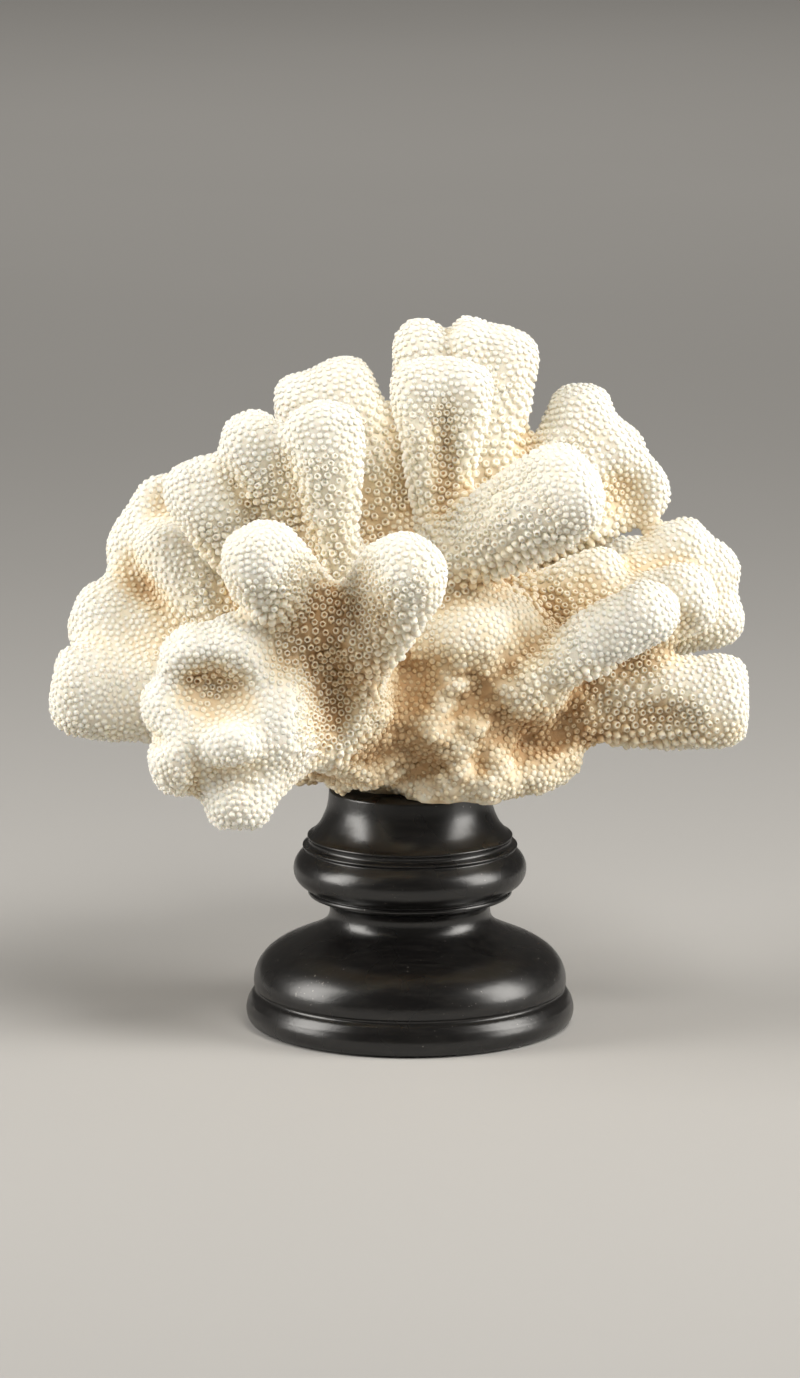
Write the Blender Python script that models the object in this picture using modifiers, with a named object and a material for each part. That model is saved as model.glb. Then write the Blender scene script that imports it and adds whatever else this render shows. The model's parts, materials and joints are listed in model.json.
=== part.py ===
"""A cat's paw coral skeleton mounted on a turned, ebonised wood base.

The coral is one colony: a stubby trunk with a flat underside, from which blunt, flattened fingers
fan out in every direction. Each finger is a lobe: oval rings carried along a bowed spine from a root
buried in the trunk to a domed tip. A branch is one lobe, or a few that grew together, grown over with
one skin and reduced to plain facets. It is cut back where it meets what it grows from, so each branch
is its own solid.

Metres, +Z up. The origin is the middle of the base's underside, and -Y is the front.
"""

import math
from dataclasses import dataclass

import bmesh
import bpy
from mathutils import Vector

MM = 0.001

# Clearance between neighbouring pieces, in millimetres.
GAP = 0.4

# The turned base, in millimetres.
BASE_HEIGHT = 53.0
FOOT_RADIUS = 36.0
SEAT_RADIUS = 17.8
BASE_STEPS = 36

# The coral's flat underside stands this much above the base's top face.
SEAT_GAP = 0.3

# How finely a lobe is drawn, before the skin is grown over it.
RING_POINTS = 20
BODY_RINGS = 6
DOME_SHARES = (0.35, 0.6, 0.8, 0.92, 0.98)

# The skin: its grid in millimetres, the passes that round its valleys, and the share of facets kept.
SKIN_GRID = 1.5
SKIN_PASSES = 6
FACETS_KEPT = 0.032

CORAL_WHITE = (0.86, 0.80, 0.69, 1.0)
EBONY_BLACK = (0.012, 0.011, 0.011, 1.0)


@dataclass(frozen=True)
class Lobe:
    """One blunt finger, in millimetres: oval rings along a spine that bows between root and tip."""

    root: tuple
    tip: tuple
    width: tuple
    thick: tuple
    face: tuple = (0.0, -1.0, 0.0)
    bow: tuple = (0.0, 0.0, 0.0)
    blunt: float = 2.4
    dome: float = 0.55


# The trunk: a rounded core, the ledges of its front, and the skirt that was cut flat to stand on the base.
TRUNK = [
    Lobe((5, 5, 48), (1, 3, 108), (42, 62), (32, 46), blunt=2.0, dome=0.5),
    Lobe((4, 0, 74), (12, -27, 74), (40, 30), (30, 24), face=(0, 0, 1)),
    Lobe((6, -4, 61), (23, -23, 59), (32, 22), (22, 13), face=(0, 0, 1)),
    Lobe((10, -2, 62), (37.4, -12, 59.2), (32, 18), (20, 12), face=(0, 0, 1)),
    Lobe((0, 0, 64), (-30, -6, 63), (32, 28), (20, 16), face=(0, 0, 1)),
    Lobe((6, 2, 60), (5, 30, 61), (44, 34), (22, 16), face=(0, 0, 1)),
]

# The branches, front ones first, each with the lobes that it is made of.
BRANCHES = {
    "front_paw_right": [
        Lobe((-15, -21, 72), (3, -55, 117.3), (17, 21), (18, 18), (-0.3, -1, 0.2), (-5, -5, -4)),
    ],
    "front_paw_left": [
        Lobe((-15, -21, 72), (-34.5, -52, 117.6), (17, 20.5), (17, 18), (0.2, -1, 0.2), (2, -4, -2)),
        Lobe((-11, -12, 64), (-17, -43, 103), (24, 23), (24, 17), (0, -1, 0.5), (-1, -4, -3)),
    ],
    "front_low_paw": [
        Lobe((-8, -12, 73), (-38, -51, 79), (26, 31), (26, 32), (0, 0, 1), (-2, 0, 0), 2.4, 0.4),
        Lobe((-33, -34, 82), (-44, -50, 95.6), (20, 23), (18, 18), (0, -1, 0.5)),
        Lobe((-34, -34, 80), (-56.6, -46, 80.5), (20, 19), (18, 18), (0, -1, 0)),
        Lobe((-34, -38, 77), (-53.6, -49, 65), (20, 19), (17, 17), (0, -1, -0.2)),
        Lobe((-33, -38, 76), (-37.2, -48, 54), (20, 17), (17, 15), (0, -1, -0.2)),
        Lobe((-28, -30, 72), (-27, -39, 62), (13, 11), (13, 11), (0, -1, 0)),
    ],
    "left_low_paddle": [
        Lobe((-8, -4, 73), (-78.8, -14, 77.6), (20, 21.8), (15, 16), (0, -1, 0), (0, 0, -1), 3.0, 0.4),
    ],
    "left_mid_finger": [
        Lobe((-8, -2, 74), (-74, -2, 94.5), (15, 19.5), (15, 16), (0, -1, 0), (0, 0, -3), 2.8, 0.5),
    ],
    "left_upper_paddle": [
        Lobe((-8, 2, 82), (-60.2, 4, 119), (15, 17.5), (13, 14), (0, -1, 0), (0, 0, 1)),
        Lobe((-8, 3, 80), (-66, 4, 110.8), (15, 17.5), (13, 14), (0, -1, 0)),
        Lobe((-8, 3, 78), (-67, 3, 101), (14, 14), (12, 12), (0, -1, 0)),
        Lobe((-12, -12, 80), (-56, -7, 109.5), (13, 14), (14, 13), (0, -1, 0), (0, 0, -1)),
    ],
    "left_bead_finger": [
        Lobe((-12, -10, 84), (-50.4, -16, 127), (14, 17), (14, 16), (0, -1, 0), (-1, 0, 0)),
    ],
    "upper_left_short_finger": [
        Lobe((-10, -10, 88), (-37.5, -15, 138.6), (14, 16.5), (13, 14), (0, -1, 0), (1, 0, 0)),
    ],
    "upper_left_long_finger": [
        Lobe((-14, -15, 84), (-18.2, -29, 144.3), (12, 18.8), (14, 15), (0, -1, 0.1), (1, -3, 0)),
    ],
    "upper_left_back_paddle": [
        Lobe((0, 4, 90), (-18, 10, 147.6), (17, 17.5), (13, 14), (0, -1, 0)),
        Lobe((-8, 4, 90), (-25.2, 10, 144.2), (14, 16.5), (13, 14), (0, -1, 0)),
    ],
    "top_front_paw": [
        Lobe((5, -10, 92), (0.8, -13, 150.6), (6, 14), (10, 14), (0, -1, 0)),
        Lobe((7, -10, 92), (13, -13, 150.4), (6, 14), (10, 14), (0, -1, 0)),
    ],
    "crown_paddle": [
        Lobe((6, 6, 92), (2.4, 12, 156), (11, 14.5), (13, 14), (0, -1, 0)),
        Lobe((9, 6, 92), (12.6, 12, 156.4), (13, 17), (14, 15), (0, -1, 0)),
        Lobe((13, 6, 92), (21.8, 12, 154), (14, 16.8), (13, 14), (0, -1, 0)),
    ],
    "upper_right_paddle": [
        Lobe((13, 6, 92), (41, 15, 140.6), (14, 16.5), (13, 14), (0, -1, 0)),
        Lobe((13, 6, 90), (50, 14, 131.6), (15, 16.5), (13, 14), (0, -1, 0)),
        Lobe((14, 6, 86), (56.6, 14, 120.8), (14, 17.5), (13, 14), (0, -1, 0)),
    ],
    "right_front_finger": [
        Lobe((-2, -15, 92), (39.4, -35.5, 129), (19, 24), (17, 18), (-0.2, -1, 0.3), (-1, -3, 0)),
    ],
    "right_back_paddle": [
        Lobe((12, 4, 84), (66, 6, 109.2), (15, 16), (13, 14), (0, -1, 0)),
        Lobe((14, 4, 82), (72.3, 6, 102.8), (15, 16.5), (13, 14), (0, -1, 0)),
        Lobe((16, 4, 80), (74, 6, 92), (14, 16.5), (13, 14), (0, -1, 0)),
    ],
    "right_mid_finger": [
        Lobe((12, -6, 80), (67.4, -9, 99.6), (14, 19), (13, 14), (0, -1, 0)),
    ],
    "right_front_low_finger": [
        Lobe((14, -14, 72), (56.6, -29, 101.4), (12, 16.5), (14, 15), (0.2, -1, 0.2), (1, -1, 0)),
    ],
    "right_low_paddle": [
        Lobe((10, -6, 74), (74.8, -9, 73.6), (18, 22), (15, 17), (0, -1, 0), (0, 0, 0.5), 3.2, 0.36),
    ],
    "right_inner_finger": [
        Lobe((10, -4, 88), (46.5, -3, 105.4), (10, 10), (10, 10), (0, -1, 0)),
    ],
    "back_top_finger": [
        Lobe((-2, 8, 94), (-7, 38, 129), (17, 21), (14, 15), (0, 1, 0.4)),
    ],
    "back_upper_right_finger": [
        Lobe((4, 8, 90), (24, 43, 119), (16, 18), (14, 15), (0.3, 1, 0.4)),
        Lobe((6, 8, 88), (38, 42, 110), (16, 17), (14, 15), (0.3, 1, 0.4)),
    ],
    "back_upper_left_finger": [
        Lobe((-4, 8, 88), (-36, 41, 116), (17, 21), (14, 15), (-0.3, 1, 0.4)),
    ],
    "back_middle_paw": [
        Lobe((-2, 10, 80), (-10, 60, 100), (16, 18), (16, 16), (0, 0.4, 1)),
        Lobe((4, 10, 80), (8, 61, 102), (16, 18), (16, 17), (0, 0.4, 1)),
    ],
    "back_right_paddle": [
        Lobe((8, 8, 80), (58, 38, 96), (18, 23), (15, 16), (-0.5, 1, 0.2)),
    ],
    "back_left_paddle": [
        Lobe((-8, 8, 78), (-60, 34, 98), (18, 23), (15, 16), (0.5, 1, 0.2)),
    ],
    "back_low_right_finger": [
        Lobe((6, 8, 72), (34, 56, 76), (19, 23), (15, 17), (-0.2, 0.2, 1)),
    ],
    "back_low_left_finger": [
        Lobe((-4, 8, 72), (-36, 52, 74), (19, 23), (15, 17), (0.2, 0.2, 1)),
    ],
    "back_far_right_finger": [
        Lobe((10, 6, 72), (64, 25, 75), (16, 20), (15, 16), (0, 0.3, 1)),
    ],
    "back_far_left_finger": [
        Lobe((-8, 6, 72), (-64, 22, 74), (16, 20), (15, 16), (0, 0.3, 1)),
    ],
}


def clear_scene():
    """Removes the scene's objects, so that only the model is left."""
    for obj in list(bpy.data.objects):
        bpy.data.objects.remove(obj, do_unlink=True)


def new_collection(name):
    """A collection of that name, linked to the scene."""
    collection = bpy.data.collections.new(name)
    bpy.context.scene.collection.children.link(collection)
    return collection


def new_material(name, colour, roughness):
    """A plain Principled material."""
    material = bpy.data.materials.new(name)
    material.use_nodes = True
    shader = material.node_tree.nodes["Principled BSDF"]
    shader.inputs["Base Color"].default_value = colour
    shader.inputs["Roughness"].default_value = roughness
    shader.inputs["Metallic"].default_value = 0.0
    return material


def spine_point(lobe, share):
    """A point of the spine and its direction there: a quadratic curve bowed at the middle."""
    root, tip = Vector(lobe.root), Vector(lobe.tip)
    control = (root + tip) / 2 + Vector(lobe.bow)
    point = root * (1 - share) ** 2 + control * 2 * share * (1 - share) + tip * share**2
    direction = (control - root) * 2 * (1 - share) + (tip - control) * 2 * share
    return point, direction.normalized()


def stations(lobe):
    """The share of the spine and of the full section at each ring, from the root to below the tip."""
    length = (Vector(lobe.tip) - Vector(lobe.root)).length
    dome = lobe.dome * lobe.width[1] / length
    rings = [((1 - dome) * i / (BODY_RINGS - 1), 1.0) for i in range(BODY_RINGS)]
    for share in DOME_SHARES:
        rings.append((1 - dome + dome * share, (1 - share**lobe.blunt) ** (1 / lobe.blunt)))
    return rings


def add_lobe(shape, lobe):
    """Adds one closed loft of oval rings to the bmesh."""
    rings = []
    for along, section in stations(lobe):
        centre, direction = spine_point(lobe, along)
        across = Vector(lobe.face).cross(direction).normalized()
        out = direction.cross(across)
        half_width = (lobe.width[0] + (lobe.width[1] - lobe.width[0]) * along) / 2 * section
        half_thick = (lobe.thick[0] + (lobe.thick[1] - lobe.thick[0]) * along) / 2 * section
        ring = []
        for i in range(RING_POINTS):
            turn = 2 * math.pi * i / RING_POINTS
            offset = across * half_width * math.cos(turn) + out * half_thick * math.sin(turn)
            ring.append(shape.verts.new((centre + offset) * MM))
        rings.append(ring)
    pole = shape.verts.new(Vector(lobe.tip) * MM)
    for lower, upper in zip(rings, rings[1:]):
        for i in range(RING_POINTS):
            j = (i + 1) % RING_POINTS
            shape.faces.new((lower[i], lower[j], upper[j], upper[i]))
    for i in range(RING_POINTS):
        shape.faces.new((rings[-1][i], rings[-1][(i + 1) % RING_POINTS], pole))
    shape.faces.new(reversed(rings[0]))


def skinned_object(name, lobes, collection):
    """The lobes, grown over with one smooth skin and reduced to plain facets."""
    shape = bmesh.new()
    for lobe in lobes:
        add_lobe(shape, lobe)
    bmesh.ops.recalc_face_normals(shape, faces=shape.faces)
    mesh = bpy.data.meshes.new(name)
    shape.to_mesh(mesh)
    shape.free()
    obj = bpy.data.objects.new(name, mesh)
    collection.objects.link(obj)
    skin = obj.modifiers.new("skin", "REMESH")
    skin.mode = "VOXEL"
    skin.voxel_size = SKIN_GRID * MM
    rounding = obj.modifiers.new("rounding", "SMOOTH")
    rounding.factor = 0.5
    rounding.iterations = SKIN_PASSES
    facets = obj.modifiers.new("facets", "DECIMATE")
    facets.ratio = FACETS_KEPT
    facets.use_collapse_triangulate = True
    apply_modifiers(obj)
    return obj


def swollen_copy(obj, collection):
    """A copy grown outwards by the clearance, which cuts the branches that come later."""
    cutter = bpy.data.objects.new(f"{obj.name}_cutter", obj.data.copy())
    collection.objects.link(cutter)
    swell = cutter.modifiers.new("swell", "DISPLACE")
    swell.strength = GAP * MM
    swell.mid_level = 0.0
    return as_helper(cutter)


def as_helper(obj):
    """Keeps a cutter or a joined lobe out of the render and of the model."""
    obj.hide_render = True
    obj.display_type = "WIRE"
    return obj


def add_boolean(obj, other, operation):
    """Joins other to obj, or cuts it away, with the exact solver."""
    modifier = obj.modifiers.new(f"{operation.lower()}_{other.name}", "BOOLEAN")
    modifier.operation = operation
    modifier.solver = "EXACT"
    modifier.object = other


def apply_modifiers(obj):
    """Replaces the object's mesh by its evaluated one."""
    graph = bpy.context.evaluated_depsgraph_get()
    mesh = bpy.data.meshes.new_from_object(obj.evaluated_get(graph))
    obj.modifiers.clear()
    obj.data = mesh


def islands(shape):
    """The mesh's separate bodies, as lists of faces."""
    left = set(shape.faces)
    found = []
    while left:
        body, edge = [], [left.pop()]
        while edge:
            face = edge.pop()
            body.append(face)
            for side in face.edges:
                for near in side.link_faces:
                    if near in left:
                        left.remove(near)
                        edge.append(near)
        found.append(body)
    return found


def keep_largest_body(obj):
    """Deletes the shards that a cut leaves on the far side of a neighbour."""
    shape = bmesh.new()
    shape.from_mesh(obj.data)
    bodies = sorted(islands(shape), key=lambda faces: sum(face.calc_area() for face in faces))
    shards = [face for faces in bodies[:-1] for face in faces]
    if shards:
        bmesh.ops.delete(shape, geom=shards, context="FACES")
    bmesh.ops.dissolve_degenerate(shape, dist=0.02 * MM, edges=shape.edges)
    bmesh.ops.triangulate(shape, faces=shape.faces)
    shape.to_mesh(obj.data)
    shape.free()


def near_each_other(first, second):
    """Whether two lobes are close enough for one to cut the other."""
    reach = (first.width[1] + second.width[1]) / 2 + 2
    points = [[spine_point(lobe, i / 6)[0] for i in range(7)] for lobe in (first, second)]
    return min((a - b).length for a in points[0] for b in points[1]) < reach


def build_branch(name, lobes, earlier, parts, cutters, material):
    """Skins a branch's lobes, and cuts it back from everything that was built before it."""
    branch = skinned_object(name, lobes, parts)
    cutter = swollen_copy(branch, cutters)
    for other_lobes, other_cutter in earlier:
        if any(near_each_other(own, other) for own in lobes for other in other_lobes):
            add_boolean(branch, other_cutter, "DIFFERENCE")
    apply_modifiers(branch)
    keep_largest_body(branch)
    branch.data.materials.append(material)
    branch.data.shade_smooth()
    earlier.append((lobes, cutter))
    return branch


def build_trunk(earlier, parts, cutters, material):
    """Joins the trunk's lobes and cuts its underside flat, just above the base."""
    trunk = build_branch("trunk", TRUNK, earlier, parts, cutters, material)
    block_height = BASE_HEIGHT
    bpy.ops.mesh.primitive_cube_add(size=1)
    block = as_helper(bpy.context.object)
    block.name = "underside_cutter"
    block.scale = (120 * MM, 120 * MM, block_height * MM)
    block.location = (0, 0, (BASE_HEIGHT + SEAT_GAP - block_height / 2) * MM)
    for collection in list(block.users_collection):
        collection.objects.unlink(block)
    cutters.objects.link(block)
    bpy.context.view_layer.update()
    add_boolean(trunk, block, "DIFFERENCE")
    apply_modifiers(trunk)
    keep_largest_body(trunk)
    return trunk


def base_profile():
    """The turned outline, top to bottom, as radius and height in millimetres."""
    return [
        (SEAT_RADIUS, BASE_HEIGHT),
        (18.3, 48.6),
        (19.8, 44.0),
        (22.4, 40.1),
        (22.8, 39.2),
        (24.0, 38.4),
        (25.2, 36.4),
        (25.6, 34.6),
        (25.1, 32.6),
        (22.8, 29.9),
        (20.4, 27.4),
        (18.1, 26.2),
        (18.2, 23.6),
        (21.6, 21.4),
        (27.0, 19.2),
        (31.4, 16.2),
        (33.9, 12.6),
        (34.4, 9.0),
        (34.3, 6.9),
        (35.8, 5.0),
        (FOOT_RADIUS, 3.0),
        (33.4, 0.0),
    ]


def build_base(parts, material):
    """The base, one profile turned round its axis."""
    outline = bmesh.new()
    points = [outline.verts.new((r * MM, 0, z * MM)) for r, z in base_profile()]
    top = outline.verts.new((0, 0, BASE_HEIGHT * MM))
    bottom = outline.verts.new((0, 0, 0))
    line = [top, *points, bottom]
    for first, second in zip(line, line[1:]):
        outline.edges.new((first, second))
    mesh = bpy.data.meshes.new("base")
    outline.to_mesh(mesh)
    outline.free()
    base = bpy.data.objects.new("base", mesh)
    parts.objects.link(base)
    turn = base.modifiers.new("turn", "SCREW")
    turn.angle = 2 * math.pi
    turn.steps = BASE_STEPS
    turn.render_steps = BASE_STEPS
    turn.use_merge_vertices = True
    turn.merge_threshold = 0.00001
    base.data.materials.append(material)
    return base


def main():
    """Builds the base, the trunk and then each branch, cut back from what stands before it."""
    clear_scene()
    parts = new_collection("mounted_cats_paw_coral")
    cutters = new_collection("cutters")
    cutters.hide_render = True
    coral = new_material("coral_skeleton", CORAL_WHITE, 0.9)
    ebony = new_material("ebonised_wood", EBONY_BLACK, 0.35)
    build_base(parts, ebony)
    earlier = []
    build_trunk(earlier, parts, cutters, coral)
    for name, lobes in BRANCHES.items():
        build_branch(name, lobes, earlier, parts, cutters, coral)


main()
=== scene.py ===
"""The looks of a mounted cat's paw coral: a cream skeleton covered in small cups, on a turned black base.

The coral's body is one skin grown over a set of lobes: those of the solids, some of them moved by a few
millimetres towards the photograph. The cups range from an open ring to a closed bead, are set on the skin
by a seeded scatter and lean towards the tips. The base is one profile turned round the vertical axis.
The scene is in metres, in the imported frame. Sizes of the coral and the base are given in millimetres.
"""

import json
import logging
import math
from dataclasses import dataclass, field
from enum import Enum

import bmesh
import bpy
import numpy as np
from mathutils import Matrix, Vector
from mathutils.bvhtree import BVHTree
from mathutils.kdtree import KDTree

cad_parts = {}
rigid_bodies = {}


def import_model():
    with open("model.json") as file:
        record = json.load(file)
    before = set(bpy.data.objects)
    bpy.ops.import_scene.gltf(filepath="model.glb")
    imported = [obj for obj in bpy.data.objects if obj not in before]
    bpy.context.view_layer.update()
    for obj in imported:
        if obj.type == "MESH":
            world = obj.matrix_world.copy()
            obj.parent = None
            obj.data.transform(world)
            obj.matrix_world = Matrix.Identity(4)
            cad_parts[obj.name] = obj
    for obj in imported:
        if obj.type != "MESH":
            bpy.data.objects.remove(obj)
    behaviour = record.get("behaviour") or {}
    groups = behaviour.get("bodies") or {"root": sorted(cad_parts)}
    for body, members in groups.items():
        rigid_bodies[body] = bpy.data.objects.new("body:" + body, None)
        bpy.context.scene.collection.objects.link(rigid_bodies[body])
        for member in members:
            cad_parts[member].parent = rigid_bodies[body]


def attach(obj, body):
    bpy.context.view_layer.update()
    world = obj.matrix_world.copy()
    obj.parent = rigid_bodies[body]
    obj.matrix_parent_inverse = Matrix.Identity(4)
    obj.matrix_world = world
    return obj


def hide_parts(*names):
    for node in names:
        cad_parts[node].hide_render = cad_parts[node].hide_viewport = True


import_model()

LOG = logging.getLogger("coral")
MM = 0.001
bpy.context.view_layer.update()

# The numbers of the colour sockets of Blender's Mix node.
MIX_SHARE, MIX_FIRST, MIX_SECOND, MIX_RESULT = 0, 6, 7, 2


class Side(Enum):
    """The eighths of the colony, clockwise from the front as seen from above, one piece of cups each."""

    FRONT = "cups_front"
    FRONT_LEFT = "cups_front_left"
    LEFT = "cups_left"
    BACK_LEFT = "cups_back_left"
    BACK = "cups_back"
    BACK_RIGHT = "cups_back_right"
    RIGHT = "cups_right"
    FRONT_RIGHT = "cups_front_right"

    @staticmethod
    def of(points: np.ndarray) -> np.ndarray:
        """The number of the eighth that each point lies in, by its bearing round the vertical axis."""
        bearing = np.arctan2(-points[:, 0], -points[:, 1])
        return np.round(bearing / (math.pi / 4)).astype(int) % 8


def ring_quads(rows: int, around: int) -> np.ndarray:
    """The quads between neighbouring rings of a grid, whose points are numbered ring by ring.

    Args:
        rows: how many rings there are.
        around: points on each ring.

    Returns:
        Four vertex numbers a face: forwards on one ring, backwards on the next.
    """
    i, j = np.meshgrid(np.arange(rows - 1), np.arange(around), indexing="ij")
    k = (j + 1) % around
    quads = np.stack([i * around + j, i * around + k, (i + 1) * around + k, (i + 1) * around + j], -1)
    return quads.reshape(-1, 4)


def pole_fan(first: int, pole: int, around: int, flipped: bool = False) -> np.ndarray:
    """The triangles between a ring and a single point, padded with -1 to four columns.

    Args:
        first: the number of the ring's first point.
        pole: the number of the single point.
        around: points on the ring.
        flipped: whether they are wound the other way round.

    Returns:
        One row a triangle.
    """
    j = first + np.arange(around)
    k = first + (np.arange(around) + 1) % around
    if flipped:
        j, k = k, j
    return np.stack([j, k, np.full(around, pole), np.full(around, -1)], -1)


@dataclass(frozen=True)
class Lobe:
    """One blunt finger, in millimetres: oval rings along a spine that bows between root and tip.

    Width and thickness are each given at the root and at the tip. The thickness lies along the face's
    direction. The end is the blunter the larger blunt is, and it starts dome tip widths before the tip.
    """

    root: tuple[float, float, float]
    tip: tuple[float, float, float]
    width: tuple[float, float]
    thick: tuple[float, float]
    face: tuple[float, float, float] = (0.0, -1.0, 0.0)
    bow: tuple[float, float, float] = (0.0, 0.0, 0.0)
    blunt: float = 2.4
    dome: float = 0.55

    def spine(self, share: np.ndarray) -> tuple[np.ndarray, np.ndarray]:
        """The spine, a quadratic curve from root to tip pulled towards its bowed middle.

        Args:
            share: how far along each point lies, 0 at the root and 1 at the tip.

        Returns:
            The points and the unit directions there, one row each.
        """
        root, tip = np.array(self.root), np.array(self.tip)
        middle = (root + tip) / 2 + np.array(self.bow)
        s = share[:, None]
        points = root * (1 - s) ** 2 + middle * 2 * s * (1 - s) + tip * s**2
        direction = (middle - root) * 2 * (1 - s) + (tip - middle) * 2 * s
        return points, direction / np.linalg.norm(direction, axis=1, keepdims=True)

    def surface(self, around: int = 40, along: int = 26) -> tuple[np.ndarray, np.ndarray]:
        """The lobe's skin as a closed grid.

        Each ring is an ellipse of the lobe's width and thickness there. Below the dome it keeps its full
        section; over the dome the section shrinks as (1 - s^blunt)^(1/blunt), a rounded, blunt end. One
        pole closes the tip and one the root.

        Args:
            around: points on each ring.
            along: rings from root to tip.

        Returns:
            The vertices in millimetres and the faces, as quads and pole triangles padded with -1.
        """
        length = np.linalg.norm(np.array(self.tip) - np.array(self.root))
        dome = self.dome * self.width[1] / length
        body = np.linspace(0.0, 1.0 - dome, along // 2)
        over = np.sin(np.linspace(0.0, 1.0, along - along // 2 + 1)[1:-1] * math.pi / 2)
        share = np.concatenate([body, 1 - dome + dome * over])
        section = np.concatenate([np.ones_like(body), (1 - over**self.blunt) ** (1 / self.blunt)])
        centre, direction = self.spine(share)
        across = np.cross(np.array(self.face), direction)
        across /= np.linalg.norm(across, axis=1, keepdims=True)
        out = np.cross(direction, across)
        wide = np.interp(share, (0, 1), self.width) / 2 * section
        deep = np.interp(share, (0, 1), self.thick) / 2 * section
        turn = np.linspace(0, 2 * math.pi, around, endpoint=False)
        ring = (
            centre[:, None]
            + across[:, None] * (wide[:, None] * np.cos(turn))[..., None]
            + out[:, None] * (deep[:, None] * np.sin(turn))[..., None]
        )
        pole = len(share) * around
        faces = [
            ring_quads(len(share), around),
            pole_fan(0, pole, around, flipped=True),
            pole_fan(pole - around, pole + 1, around),
        ]
        return np.concatenate([ring.reshape(-1, 3), [self.root, self.tip]]), np.concatenate(faces)


TRUNK = [
    Lobe((5, 5, 48), (1, 3, 108), (42, 62), (32, 46), blunt=2.0, dome=0.5),
    Lobe((4, 0, 74), (12, -27, 74), (40, 30), (30, 24), face=(0, 0, 1)),
    Lobe((6, -4, 61), (23, -23, 59), (32, 22), (22, 13), face=(0, 0, 1)),
    Lobe((10, -2, 62), (37.4, -12, 59.2), (32, 18), (20, 12), face=(0, 0, 1)),
    Lobe((0, 0, 64), (-30, -6, 63), (32, 28), (20, 16), face=(0, 0, 1)),
    Lobe((6, 2, 60), (5, 30, 61), (44, 34), (22, 16), face=(0, 0, 1)),
    Lobe((6, -2, 86), (22, -25, 94), (36, 30), (26, 20), face=(0, 0, 1)),
    Lobe((4, -2, 72), (34, -20, 82), (30, 24), (24, 18), face=(0, 0, 1)),
]

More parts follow.
